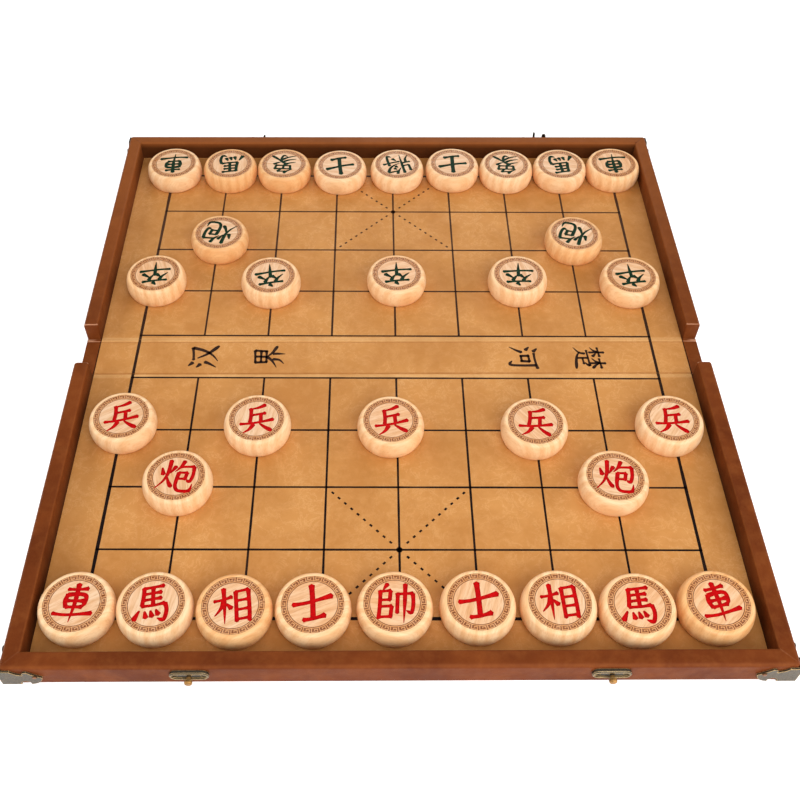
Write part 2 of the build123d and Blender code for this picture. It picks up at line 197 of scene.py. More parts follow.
def leather(name, base, dark, light, mottle=0.5, grain=1.1, depth=0.10, rough=0.5, wear_and_highlight=0.0,
            shine=0.3, painted_wall_shade=0.0, folded=False, far_sheen=0.0, veined=0.0):
    """Coated leather: clouds of colour over a fine pebbled grain. Where the amounts say so, its
    rounded edges are lighter, partly worn and partly painted highlight; the walls' inner faces
    darken towards their foot, and the far wall's below its top, as painted shade; the far tray
    is paler as painted sheen; pale bands and dark creases beside the folds are painted
    highlight and painted shade; the sheet darkens towards the walls as painted shade; and fine
    pale cracks run through it."""
    s = Shader(name)
    at = s.coords()
    clouds = s.noise(at, 0.018, 5, 0.6, 0.4)
    smudges = s.noise(at, 0.11, 6, 0.65)
    specks = s.noise(at, 1.6, 3, 0.6)
    colour = s.mix(s.ramp(clouds, 0.38, 0.66), dark, base)
    colour = s.mix(s.times(s.ramp(smudges, 0.45, 0.75), mottle), colour, light)
    colour = s.mix(s.times(s.ramp(specks, 0.52, 0.72), 0.22), colour, dark)
    if veined:
        level = s.math("ABSOLUTE", s.math("SUBTRACT", s.noise(at, 0.075, 7, 0.72, 0.6), 0.5))
        crack = s.times(s.ramp(level, 0.022, 0.0), s.ramp(clouds, 0.35, 0.6), veined)
        colour = s.mix(crack, colour, srgb(242, 192, 134))
    place = s.split(at)
    x, y = (s.math("ABSOLUTE", place[i]) for i in (0, 1))
    far = s.ramp(place[1], -40, OUTER_Y)
    above = s.ramp(place[2], FLOOR - 0.8, FLOOR - 0.4)
    # Painted sheen: the far tray's brown is made paler, except on its outer faces and edges.
    if far_sheen:
        within = s.times(s.ramp(x, OUTER_X - 0.3, OUTER_X - 2.6),
                         s.ramp(y, OUTER_Y - 0.3, OUTER_Y - 2.6))
        colour = s.mix(s.times(within, above, far, far_sheen), colour, light)
    # Rounded edges between tops and faces turn lighter, partly worn and partly painted highlight;
    # at the wall ends by the fold they turn pale pink, the same mix.
    if wear_and_highlight:
        facing = s.facing_up()
        square = s.times(facing, facing)
        rounding = s.times(square, s.math("SUBTRACT", 1.0, square))
        worn_edge_highlight = s.times(s.ramp(rounding, 0.06, 0.25),
                      s.ramp(s.noise(at, 0.14, 5, 0.7), 0.3, 0.65, 0.25, 1.0))
        colour = s.mix(s.times(worn_edge_highlight, wear_and_highlight), colour, light)
        at_end = s.math("LESS_THAN", y, TRAY_START + 1.3)
        colour = s.mix(s.times(worn_edge_highlight, at_end), colour, srgb(206, 150, 116))
    # Painted shade: the walls' inner faces darken towards their foot, less on the far tray, and the
    # far wall's inner face darkens below its top.
    if painted_wall_shade:
        inside = s.times(s.math("LESS_THAN", x, INNER_X + 1), s.math("LESS_THAN", y, INNER_Y + 1),
                         above)
        low = s.ramp(place[2], FLOOR - 1, WALL_TOP - 0.5, 1.0, 0.0)
        shade_at_foot = s.times(s.math("POWER", low, 1.6), s.ramp(far, 0.0, 1.0, painted_wall_shade, 0.45 * painted_wall_shade))
        far_wall_shade = s.times(s.ramp(place[1], INNER_Y - 3, INNER_Y - 1, 0.0, 0.66),
                           s.ramp(place[2], WALL_TOP - 0.3, WALL_TOP - 6))
        inner_face_shade = s.times(inside, s.math("MAXIMUM", shade_at_foot, far_wall_shade))
        colour = s.mix(inner_face_shade, colour, srgb(26, 13, 8))
    if folded:
        # Painted highlight and painted shade by the folds follow: a pale strip and a dark line,
        # made uneven by this noise.
        worn = s.ramp(s.noise(at, 0.035, 4, 0.6), 0.35, 0.65, 0.45, 1.0)
        fold_highlight = s.times(s.ramp(y, SPINE_HALF + 0.1, SPINE_HALF + 1.2),
                       s.ramp(y, BANK - 0.4, BANK - 1.6))
        colour = s.mix(s.times(fold_highlight, worn, 0.3), colour, srgb(252, 210, 148))
        off = s.math("ABSOLUTE", s.math("SUBTRACT", y, SPINE_HALF - 0.35))
        crease_shade = s.times(s.ramp(off, 0.85, 0.2), worn)
        colour = s.mix(s.times(crease_shade, 0.4), colour, srgb(150, 92, 44))
        # Painted shade: the sheet darkens towards the walls.
        rim = s.math("MAXIMUM", s.ramp(x, INNER_X - 24, INNER_X, 0.0, 0.45),
                     s.ramp(y, INNER_Y - 34, INNER_Y))
        wall_shade = s.times(s.math("POWER", rim, 1.4), s.ramp(worn, 0.0, 1.0, 0.2, 0.5))
        colour = s.mix(wall_shade, colour, srgb(140, 84, 36))
    pores = s.noise(at, 2.6, 4, 0.7)
    height = s.math("ADD", s.times(s.cells(at, grain), 0.6), s.times(pores, 0.4))
    wrinkles = s.noise(s.coords(rotation=(0.4, 0.3, 0.7)), 0.35, 5, 0.7, 1.2)
    normal = s.bump(wrinkles, 0.35, 0.35 * MM, s.bump(height, 0.55, depth * MM))
    sheen = s.ramp(s.noise(at, 0.07, 4, 0.6), 0.3, 0.7, rough - 0.07, rough + 0.09)
    s.set(Base_Color=colour, Roughness=sheen, Normal=normal, Specular_IOR_Level=shine)
    return s.mat


def antique_bronze(name, body=(104, 90, 70), bloom=(92, 86, 76), hollow=(52, 40, 28), rubbed_and_highlit=1.0,
                   tip=None, tip_from=2.6):
    """Dark bronze with a grey bloom. Its edges turn bright brass, partly worn and partly painted
    highlight, and what faces upward at the box's sides is darkened as painted shade. The tip of
    a stud or a nail, tip_from mm and more outside the box, can take a colour of its own."""
    s = Shader(name)
    at = s.coords()
    worn, rounded = s.edges(0.5 * MM, 0.004, 0.08)
    clouds = s.ramp(s.noise(at, 0.35, 6, 0.7, 0.6), 0.42, 0.62)
    cast = s.noise(at, 1.4, 5, 0.7)
    colour = s.mix(clouds, srgb(*body), srgb(*bloom))
    colour = s.mix(s.ramp(cast, 0.42, 0.72), colour, srgb(*hollow))
    place = s.split(at)
    past_x, past_y = (s.math("SUBTRACT", s.math("ABSOLUTE", place[i]), wall)
                      for i, wall in enumerate((OUTER_X, OUTER_Y)))
    if tip:
        at_tip = s.ramp(s.math("MAXIMUM", past_x, past_y), tip_from, tip_from + 0.6)
        colour = s.mix(at_tip, colour, s.mix(clouds, srgb(*tip), srgb(*(0.6 * c for c in tip))))
    # Edges turn bright brass, partly worn and partly painted highlight, and less metallic so they
    # stay bright.
    worn_edge_highlight = s.times(worn, s.ramp(s.noise(at, 0.6, 4, 0.6), 0.2, 0.5, 0.4, 1.0), rubbed_and_highlit)
    colour = s.mix(worn_edge_highlight, colour, srgb(242, 200, 130))
    # Painted shade: what faces upward beyond the box's sides is darkened.
    side_top_shade = s.times(s.ramp(past_x, 0.1, 0.4), s.ramp(s.facing_up(), 0.25, 0.7), 0.85)
    colour = s.mix(side_top_shade, colour, srgb(30, 23, 16))
    rough = s.ramp(cast, 0.3, 0.7, 0.30, 0.5)
    normal = s.bump(cast, 0.35, 0.12 * MM, rounded)
    s.set(Base_Color=colour, Metallic=s.ramp(worn_edge_highlight, 0.0, 1.0, 0.85, 0.3), Roughness=rough,
          Normal=normal)
    return s.mat


def piece_wood(name, scorched=0.0, scorch=None, figure=1.0, tint=(255, 255, 255),
               flush=(252, 228, 200), toned=False):
    """Pale beech: growth bands, fine pores and streaks along the grain. The grain turns and
    shifts from piece to piece, and it can be scorched or toned by the piece's own colour."""
    s = Shader(name)
    piece = s.node("ObjectInfo").outputs
    shift = s.times(piece["Random"], 700.0)
    spun = s.node("CombineXYZ", {2: s.times(piece["Random"], 6.283)}).outputs[0]
    moved = s.node("CombineXYZ", {0: shift, 1: shift, 2: shift}).outputs[0]
    at = s.coords(rotation=spun, offset=moved)
    bands = s.node(
        "TexWave",
        {"Vector": at, "Scale": 0.042, "Distortion": 4.0, "Detail": 2.0, "Detail Scale": 0.22,
         "Detail Roughness": 0.5},
        wave_type="BANDS", bands_direction="X", wave_profile="SIN",
    ).outputs["Fac"]
    fine = s.node("Mapping", {"Vector": at, "Scale": (2.4, 0.14, 0.6)}).outputs[0]
    pores = s.noise(fine, 1.0, 4, 0.7)
    rays = s.node("Mapping", {"Vector": at, "Scale": (0.7, 0.06, 0.2)}).outputs[0]
    streaks = s.noise(rays, 1.0, 4, 0.6)
    blush = s.noise(at, 0.05, 3, 0.5)
    colour = s.mix(s.ramp(bands, 0.3, 1.0, 0.0, 0.6), srgb(255, 219, 180), srgb(242, 192, 143))
    colour = s.mix(s.ramp(streaks, 0.46, 0.74, 0.0, 0.75 * figure), colour, srgb(222, 160, 102))
    colour = s.mix(s.ramp(pores, 0.52, 0.72, 0.0, 0.6 * figure), colour, srgb(204, 142, 88))
    tone = s.math("ADD", s.times(piece["Random"], 0.45), s.ramp(blush, 0.35, 0.65, 0.0, 0.4))
    colour = s.mix(tone, colour, s.mix(1.0, colour, srgb(*flush), "MULTIPLY"))
    colour = s.mix(1.0, colour, srgb(*tint), "MULTIPLY")
    if toned:
        colour = s.mix(1.0, colour, piece["Color"], "MULTIPLY")
    if scorched:
        singe = s.ramp(s.noise(at, 0.5, 4, 0.6), 0.3, 0.7, scorched - 0.14, scorched + 0.14)
        colour = s.mix(singe, colour, srgb(*scorch))
    normal = s.bump(pores, 0.25, 0.05 * MM)
    s.set(Base_Color=colour, Roughness=s.ramp(pores, 0.3, 0.8, 0.36, 0.5), Normal=normal,
          Specular_IOR_Level=0.35, Coat_Weight=0.06, Coat_Roughness=0.35)
    return s.mat


def enamel(name, colour, deep):
    """Paint flowed into the carving: a little uneven, darker where it is thick."""
    s = Shader(name)
    at = s.coords()
    pooled = s.noise(at, 0.45, 4, 0.6)
    brushed = s.noise(at, 1.8, 3, 0.6)
    mixed = s.mix(s.ramp(pooled, 0.35, 0.7), deep, colour)
    normal = s.bump(brushed, 0.3, 0.08 * MM)
    s.set(Base_Color=mixed, Roughness=s.ramp(brushed, 0.3, 0.7, 0.45, 0.6), Normal=normal,
          Specular_IOR_Level=0.08)
    return s.mat


def ink(name):
    """Screen-printed lines: nearly black, a little worn where the leather's grain shows."""
    s = Shader(name)
    at = s.coords()
    worn = s.ramp(s.noise(at, 1.3, 5, 0.7), 0.55, 0.8, 0.0, 0.4)
    faded = s.ramp(s.noise(at, 0.03, 3, 0.5), 0.45, 0.75, 0.0, 0.15)
    away = s.ramp(s.split(at)[1], -60, 140, 0.0, 0.36)
    patchy = s.math("ADD", s.math("ADD", worn, faded), away, clamp=True)
    colour = s.mix(patchy, srgb(22, 14, 14), srgb(112, 76, 54))
    s.set(Base_Color=colour, Roughness=0.6, Normal=s.bump(s.cells(at, 1.1), 0.4, 0.1 * MM),
          Specular_IOR_Level=0.06)
    return s.mat


def raw_board(name):
    """Pressed wood board: short tangled fibres."""
    s = Shader(name)
    at = s.coords((1000, 240, 1000))
    fibres = s.noise(at, 0.9, 6, 0.75, 1.5)
    colour = s.mix(s.ramp(fibres, 0.3, 0.7), srgb(150, 112, 74), srgb(196, 158, 112))
    s.set(Base_Color=colour, Roughness=0.8, Normal=s.bump(fibres, 0.4, 0.15 * MM))
    return s.mat


BROWN = leather("brown_leather", srgb(124, 61, 24), srgb(101, 46, 17), srgb(160, 94, 46),
                mottle=0.25, grain=1.0, depth=0.12, rough=0.48, wear_and_highlight=0.25, shine=0.06,
                painted_wall_shade=0.92, far_sheen=0.5)
# Painted shadow as well as glue: the nearly black seam at the foot of the walls.
SEAM_AND_SHADOW = leather("seam_and_shadow_leather", srgb(52, 26, 14), srgb(30, 14, 8), srgb(84, 44, 24),
               mottle=0.3, grain=0.9, rough=0.6, shine=0.05)
# A lighter copy of the brown leather: painted highlight on the lips of the mitred corners.
LIT_FOLD_LEATHER = leather("lit_fold_leather", srgb(136, 72, 34), srgb(104, 50, 22), srgb(172, 112, 70),
                 mottle=0.6, grain=1.0, depth=0.12, rough=0.5, shine=0.08)
TAN = leather("tan_leather", srgb(205, 143, 77), srgb(189, 127, 63), srgb(219, 160, 96),
              mottle=0.34, grain=1.2, depth=0.07, rough=0.58, shine=0.22, folded=True,
              veined=0.3)
BRONZE = antique_bronze("antique_bronze")
STUDDED = antique_bronze("studded_bronze", (88, 80, 66), tip=(180, 132, 72))
BLACKENED = antique_bronze("blackened_bronze", (44, 34, 24), (36, 32, 28), (16, 12, 8), 0.2)
NAIL = antique_bronze("nail_copper", (62, 46, 32), (48, 38, 30), (26, 18, 12), 0.3,
                      tip=(168, 108, 70), tip_from=1.75)
# One wood for a piece's top and sides: the top's darker tint is painted shade against the sides.
TURNED_WOOD = piece_wood("turned_wood", figure=0.55, tint=(255, 253, 243),
                         flush=(255, 238, 216), toned=True)
SHADED_TOP_WOOD = piece_wood("piece_wood", tint=(240, 238, 238))
SCORCHED = piece_wood("scorched_wood", 0.66, (204, 132, 68))
BURNT = piece_wood("burnt_ring", 0.9, (130, 66, 22))
RED = enamel("red_enamel", srgb(208, 8, 10), srgb(172, 0, 4))
GREEN = enamel("green_enamel", srgb(22, 60, 38), srgb(8, 34, 20))
INK = ink("board_ink")
BOARD = raw_board("raw_board")

by_slot = {"board": BOARD, "brown_leather": BROWN, "tan_leather": TAN, "bronze": BRONZE,
           "piece_wood": SHADED_TOP_WOOD}
slot_of = {p["node"]: p["material_slot"] for p in frame["record"]["subparts"]}
own_look = {"catch_plates": STUDDED, "catch_screws": BLACKENED, "hook_screws": BLACKENED,
            "left_hook_arm": BLACKENED, "right_hook_arm": BLACKENED,
            "near_bracket_nails": NAIL, "far_bracket_nails": NAIL}
for name, obj in frame["nodes"].items():
    obj.data.materials.clear()
    obj.data.materials.append(own_look.get(name, by_slot[slot_of[name]]))


# ---------------------------------------------------------------- mesh helpers
def in_scene(name, data):
    """A new object in the scene for a mesh, a lamp or a camera."""
    obj = bpy.data.objects.new(name, data)
    bpy.context.scene.collection.objects.link(obj)
    return obj


def make(name, verts, faces, materials, body, at=None, turn=0.0, smooth=False,
         face_materials=None):
    """A mesh object from points in millimetres, set at a place, that rides on a body."""
    mesh = bpy.data.meshes.new(name)
    mesh.from_pydata([tuple(c * MM for c in v) for v in verts], [], faces)
    for m in materials:
        mesh.materials.append(m)
    if face_materials:
        mesh.polygons.foreach_set("material_index", face_materials)
    if smooth is True:
        mesh.polygons.foreach_set("use_smooth", [True] * len(faces))
    elif smooth:
        mesh.polygons.foreach_set("use_smooth", smooth)
    mesh.update()
    obj = in_scene(name, mesh)
    if at:
        obj.matrix_world = Matrix.Translation(Vector(at) * MM) @ Matrix.Rotation(turn, 4, "Z")
    if body:
        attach(obj, body)
    return obj


SPAN_STEPS = 5  # how many steps a smooth line takes from one of its points to the next


def curve_points(points):
    """A smooth line through the points."""
    if len(points) == 2:
        (x0, y0), (x1, y1) = points
        return [(x0 + (x1 - x0) * i / SPAN_STEPS, y0 + (y1 - y0) * i / SPAN_STEPS)
                for i in range(SPAN_STEPS + 1)]
    out = []
    ends = [points[0]] + list(points) + [points[-1]]
    for a, b, c, d in zip(ends, ends[1:], ends[2:], ends[3:]):
        for i in range(SPAN_STEPS):
            t = i / SPAN_STEPS
            out.append(tuple(
                0.5 * (2 * q + (r - p) * t + (2 * p - 5 * q + 4 * r - s) * t * t
                       + (3 * q - p - 3 * r + s) * t ** 3)
                for p, q, r, s in zip(a, b, c, d)))
    out.append(tuple(points[-1]))
    return out


def ribbon(line, widths, cap=0.0):
    """The outline of a line of changing width, with mitred corners and pointed or square ends."""
    dirs = [(Vector(b) - Vector(a)).normalized() for a, b in zip(line, line[1:])]
    left, right = [], []
    for i, p in enumerate(line):
        a, b = dirs[max(i - 1, 0)], dirs[min(i, len(dirs) - 1)]
        mid = (a + b).normalized()
        reach = widths[i] / 2 / max(0.55, mid.dot(a))
        side = Vector((-mid.y, mid.x)) * reach
        left.append((p[0] + side.x, p[1] + side.y))
        right.append((p[0] - side.x, p[1] - side.y))
    outline = right
    if cap:
        tip = Vector(line[-1]) + dirs[-1] * widths[-1] * cap
        outline = outline + [(tip.x, tip.y)]
    outline = outline + left[::-1]
    if cap:
        tail = Vector(line[0]) - dirs[0] * widths[0] * cap
        outline = outline + [(tail.x, tail.y)]
    return outline


def counter_clockwise(outline):
    """The same outline, turned about where it runs clockwise."""
    area = sum(a[0] * b[1] - b[0] * a[1] for a, b in zip(outline, outline[1:] + outline[:1]))
    return outline if area > 0 else outline[::-1]


def regions(outlines):
    """Split the plane along the outlines: the points, the triangles, and which outlines cover
    each triangle."""
    points, loops = [], []
    for outline in outlines:
        outline = counter_clockwise(outline)
        loops.append(list(range(len(points), len(points) + len(outline))))
        points += [Vector(p) for p in outline]
    out = delaunay_2d_cdt(points, [], loops, 1, 1e-5)
    return [tuple(p) for p in out[0]], out[2], out[5]


# ---------------------------------------------------------------- brush-written marks
# A mark is a list of strokes in a square of 100. Each letter gives the way the brush moves:
# h across, v down, w down to a point, p a falling stroke that thins, n one that swells, d a dot,
# k one with a hook.
def brush(kind, t, bold):
    """How wide the brush is at t, from 0 at the stroke's start to 1 at its end."""
    start, end = max(0.0, 1 - t * 5), max(0.0, (t - 0.75) * 4)
    press = {
        "h": 0.72 + 0.28 * start + 0.45 * end,
        "v": 0.95 + 0.25 * start + 0.05 * end,
        "w": 1.0 + 0.25 * start - 0.85 * max(0.0, t - 0.45) / 0.55,
        "p": 1.18 - 0.95 * t ** 1.4,
        "n": 0.45 + 0.95 * t - 0.75 * max(0.0, (t - 0.85) / 0.15),
        "d": 0.50 + 0.85 * t,
        "k": 0.95 + 0.2 * start - 0.8 * max(0.0, (t - 0.8) * 5),
    }[kind]
    return max(0.14, press) * bold * 1.1


MARKS = {
    "chariot": (11.0, [
        ("h", (27, 86), (50, 87), (75, 91)), ("v", (30, 72), (26, 55), (31, 37)),
        ("k", (30, 71), (55, 75), (74, 71), (75, 52), (68, 38)), ("h", (32, 55), (70, 57)),
        ("h", (31, 38), (70, 41)), ("h", (3, 19), (30, 17), (60, 20), (97, 26)),
        ("w", (50, 102), (51, 50), (47, -2))]),
    "horse": (10.4, [
        ("v", (28, 92), (27, 70), (23, 44)), ("h", (28, 91), (76, 96)), ("h", (27, 75), (70, 79)),
        ("h", (26, 59), (70, 63)), ("v", (50, 93), (50, 46)),
        ("h", (23, 43), (52, 44), (78, 48)), ("k", (79, 48), (83, 28), (76, 4), (60, 9)),
        ("d", (17, 32), (4, 9)), ("d", (30, 29), (33, 12)), ("d", (44, 30), (48, 14)),
        ("d", (57, 32), (63, 18))]),
    "minister": (10.6, [
        ("h", (2, 67), (24, 69), (48, 75)), ("w", (28, 101), (28, 50), (26, 0)),
        ("p", (27, 66), (18, 44), (1, 25)), ("d", (33, 57), (45, 42)),
        ("v", (59, 89), (58, 40), (57, 3)), ("h", (59, 88), (92, 92)),
        ("v", (92, 91), (92, 40), (90, 2)), ("h", (60, 62), (90, 64)), ("h", (59, 36), (90, 38)),
        ("h", (58, 9), (90, 11))]),
    "advisor": (13.0, [
        ("v", (52, 101), (51, 60), (48, 13)), ("h", (2, 53), (30, 54), (60, 59), (99, 67)),
        ("h", (24, 10), (48, 11), (77, 17))]),
    "marshal": (9.8, [
        ("p", (30, 101), (19, 83)), ("v", (13, 81), (13, 40), (11, 6)),
        ("h", (13, 79), (38, 83)), ("v", (38, 82), (37, 57)), ("h", (14, 56), (38, 58)),
        ("h", (14, 38), (42, 41)), ("v", (42, 40), (40, 11)), ("h", (12, 10), (42, 13)),
        ("v", (56, 76), (56, 22)), ("h", (56, 74), (93, 78)),
        ("k", (93, 77), (95, 50), (91, 26), (78, 31)), ("w", (74, 102), (74, 50), (73, -3))]),
    "cannon": (10.0, [
        ("d", (8, 72), (15, 51)), ("p", (44, 81), (33, 57)),
        ("p", (27, 99), (27, 58), (19, 30), (1, 4)), ("n", (27, 44), (34, 28), (45, 13)),
        ("p", (64, 101), (57, 81), (45, 64)), ("h", (57, 81), (93, 86)),
        ("k", (93, 85), (95, 58), (90, 37), (79, 42)), ("h", (56, 62), (78, 64)),
        ("v", (78, 64), (76, 43)), ("h", (56, 42), (77, 44)),
        ("k", (56, 62), (54, 24), (62, 6), (80, 4), (95, 9), (98, 30))]),
    "soldier": (11.2, [
        ("p", (77, 99), (57, 90), (31, 86)), ("v", (35, 88), (34, 60), (30, 37)),
        ("h", (35, 63), (76, 68)), ("v", (63, 65), (62, 38)),
        ("h", (2, 33), (30, 33), (60, 36), (98, 43)), ("p", (40, 29), (28, 12), (9, 0)),
        ("n", (58, 31), (72, 17), (92, 2))]),
    "elephant": (8.8, [
        ("p", (44, 101), (34, 89), (17, 78)), ("h", (40, 91), (67, 93)),
        ("p", (67, 93), (61, 84), (52, 78)), ("v", (24, 77), (27, 57)), ("h", (24, 76), (80, 79)),
        ("v", (79, 79), (75, 59)), ("h", (26, 59), (77, 60)), ("v", (50, 77), (49, 60)),
        ("p", (49, 57), (34, 45), (9, 37)),
        ("k", (36, 50), (56, 40), (62, 22), (56, 3), (41, 8)),
        ("p", (54, 39), (36, 27), (9, 19)), ("p", (59, 26), (40, 12), (11, 1)),
        ("p", (85, 54), (72, 45), (61, 40)), ("n", (60, 38), (74, 24), (97, 7))]),
    "general": (9.2, [
        ("v", (9, 91), (10, 60)), ("h", (10, 60), (32, 62)), ("w", (33, 101), (33, 50), (32, -2)),
        ("h", (3, 43), (32, 46)), ("p", (17, 44), (15, 24), (3, 5)),
        ("p", (59, 102), (52, 87), (40, 72)), ("h", (56, 88), (88, 91)),
        ("p", (89, 90), (79, 68), (62, 54), (41, 46)), ("d", (57, 79), (64, 71)),
        ("d", (51, 68), (58, 60)), ("h", (40, 36), (68, 38), (98, 43)),
        ("k", (78, 54), (79, 24), (76, 1), (62, 7)), ("d", (50, 29), (60, 17))]),
    "pawn": (10.6, [
        ("d", (46, 102), (55, 91)), ("h", (12, 81), (50, 83), (88, 88)),
        ("p", (35, 79), (27, 64), (9, 48)), ("d", (32, 66), (45, 53)),
        ("p", (69, 80), (62, 66), (51, 53)), ("d", (68, 67), (88, 52)),
        ("h", (2, 32), (30, 32), (60, 35), (98, 40)), ("w", (50, 58), (50, 30), (49, -4))]),
    "chu": (8.6, [
        ("h", (4, 80), (45, 84)), ("v", (26, 101), (26, 50)), ("p", (25, 79), (17, 66), (3, 55)),
        ("d", (31, 73), (44, 61)), ("h", (54, 81), (97, 85)), ("v", (75, 101), (75, 50)),
        ("p", (74, 80), (65, 66), (52, 56)), ("n", (77, 78), (84, 67), (98, 55)),
        ("h", (16, 42), (86, 47)), ("p", (86, 46), (80, 38), (71, 33)), ("v", (51, 43), (51, 9)),
        ("h", (51, 25), (78, 28)), ("p", (31, 35), (26, 16), (3, -1)),
        ("n", (23, 19), (48, 6), (99, 0))]),
    "river": (10.2, [
        ("d", (9, 97), (23, 84)), ("d", (2, 70), (16, 58)), ("p", (26, 44), (17, 26), (2, 4)),
        ("h", (31, 85), (60, 86), (99, 92)), ("v", (42, 67), (43, 38)), ("h", (42, 65), (68, 68)),
        ("v", (68, 67), (66, 38)), ("h", (43, 40), (67, 42)),
        ("k", (85, 88), (86, 40), (82, 1), (64, 9))]),
    "han": (10.8, [
        ("d", (9, 97), (23, 84)), ("d", (2, 70), (16, 58)), ("p", (26, 44), (17, 26), (2, 4)),
        ("h", (35, 83), (60, 85), (90, 90)), ("p", (90, 88), (76, 48), (56, 20), (30, 1)),
        ("n", (43, 70), (64, 36), (99, 2))]),
    "border": (9.6, [
        ("v", (24, 97), (26, 57)), ("h", (25, 96), (78, 100)), ("v", (78, 99), (75, 58)),
        ("h", (26, 77), (76, 79)), ("h", (26, 59), (76, 61)), ("v", (51, 97), (50, 60)),
        ("p", (49, 57), (32, 40), (2, 24)), ("n", (51, 57), (70, 40), (99, 25)),
        ("p", (39, 37), (36, 16), (19, 0)), ("w", (64, 38), (64, 18), (63, -4))]),
}


def mark_outlines(name, size):
    """The strokes of a mark as outlines, size mm across, centred on 0, 0."""
    bold, strokes = MARKS[name]
    out = []
    for kind, *points in strokes:
        line = curve_points([((x - 50) * size / 100, (y - 50) * size / 100) for x, y in points])
        last = len(line) - 1
        widths = [brush(kind, i / last, bold) * size / 100 for i in range(last + 1)]
        out.append(ribbon(line, widths, cap=0.28))
    return out


# ---------------------------------------------------------------- pieces
PIECE_RADIUS, PIECE_HEIGHT = 24.75, 17.0
SIDE_BULGE, ROUNDED_EDGE = 2.2, 2.4
TURNED_SIDES = 84
BAND_INNER, BAND_OUTER = 15.9, 20.5
FRET_UNITS, FRET_INNER, FRET_OUTER, FRET_WIDTH = 22, 16.72, 19.68, 0.6
TOP_LEVEL, BAND_LEVEL, CARVED_LEVEL = range(3)
DEPTH_OF = {TOP_LEVEL: 0.0, BAND_LEVEL: 0.3, CARVED_LEVEL: 0.55}
ON_TOP, ON_FRET, IN_BAND, IN_MARK, ON_SIDE = range(5)  # the places of a piece's materials


def around(radius, angle):
    """The point of a circle at an angle."""
    return radius * math.cos(angle), radius * math.sin(angle)


def circle(radius):
    """A circle as fine as the pieces are turned."""
    return [around(radius, 2 * math.pi * i / TURNED_SIDES) for i in range(TURNED_SIDES)]


def fret_outlines():
    """The fret that stands in the ring: a square hook, over and over, on a running line."""
    hook = [(0.06, 0.0), (0.06, 1.0), (0.80, 1.0), (0.80, 0.34), (0.42, 0.34), (0.42, 0.66)]
    running = [(0, 0), (1 / 3, 0), (2 / 3, 0), (1, 0)]
    out = []
    for unit in range(FRET_UNITS):
        for path in (hook, running):
            line = [around(FRET_INNER + (FRET_OUTER - FRET_INNER) * v,
                           2 * math.pi * (unit + u) / FRET_UNITS) for u, v in path]
            out.append(ribbon(line, [FRET_WIDTH] * len(line)))
    return out


def piece_profile():
    """Radius and height down the side of a piece, from its flat top to its flat base: a lip
    turned just inside the top's edge, a rounded edge, a bulging side and a rounded foot."""
    half = PIECE_HEIGHT / 2
    arc = (half ** 2 + SIDE_BULGE ** 2) / (2 * SIDE_BULGE)
    centre = PIECE_RADIUS - arc
    flat = centre + math.sqrt((arc - ROUNDED_EDGE) ** 2 - (half - ROUNDED_EDGE) ** 2)
    meet = math.atan2(half - ROUNDED_EDGE, flat - centre)
    lip = [(flat - inwards, half - deep)
           for inwards, deep in ((0.9, 0.0), (0.62, 0.16), (0.3, 0.03))]
    upper = []
    for i in range(6):
        x, z = around(ROUNDED_EDGE, math.pi / 2 + (meet - math.pi / 2) * i / 5)
        upper.append((flat + x, half - ROUNDED_EDGE + z))
    side = []
    for i in range(1, 12):
        x, z = around(arc, meet * (1 - i / 6))
        side.append((centre + x, z))
    lower = [(r, -z) for r, z in reversed(upper)]
    return [(r, z + half) for r, z in lip + upper + side + lower]


